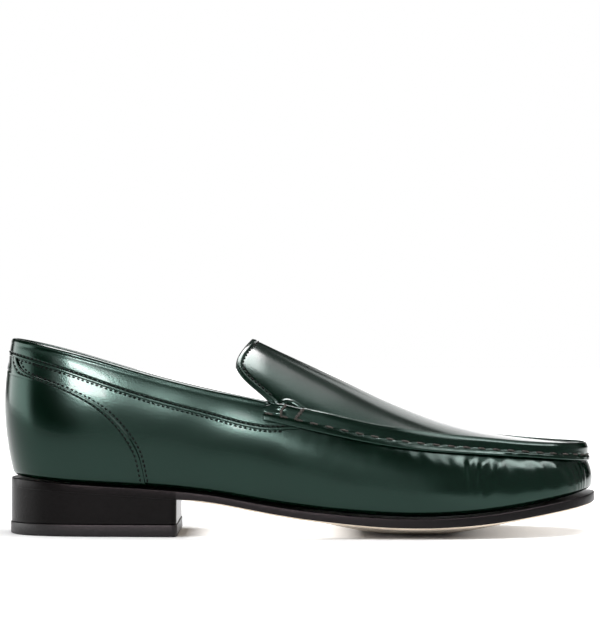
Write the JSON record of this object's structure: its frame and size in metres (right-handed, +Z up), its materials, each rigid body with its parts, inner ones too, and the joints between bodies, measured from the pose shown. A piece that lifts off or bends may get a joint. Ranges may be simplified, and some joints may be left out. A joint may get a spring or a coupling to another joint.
{
  "type": "elevator loafer",
  "caption": "Right slip-on loafer with a stitched apron toe, plain tongue, collar band, heel counter, leather sole and stacked heel, raised inside by a wedge insole.",
  "frame": {"origin": "middle of the overall box, on the floor that the heel and the forefoot stand on", "axes": "+X towards the toe, +Y towards the inner side of the foot, +Z up"},
  "size_m": [0.3004, 0.1006, 0.0982],
  "materials": {
    "upper": "polished dark green calf",
    "apron": "polished dark green calf",
    "collar_band": "polished dark green calf",
    "heel_counter": "polished dark green calf",
    "insole": "smooth tan leather over a wedge",
    "outsole": "black edge paint",
    "heel_stack": "black edge paint on stacked leather",
    "heel_top_lift": "matt black rubber"
  },
  "bodies": {
    "root": {"upper": "upper", "apron": "apron", "collar_band": "collar_band", "heel_counter": "heel_counter", "insole": "insole", "outsole": "outsole", "heel_stack": "heel_stack", "heel_top_lift": "heel_top_lift"}
  },
  "joints": []
}
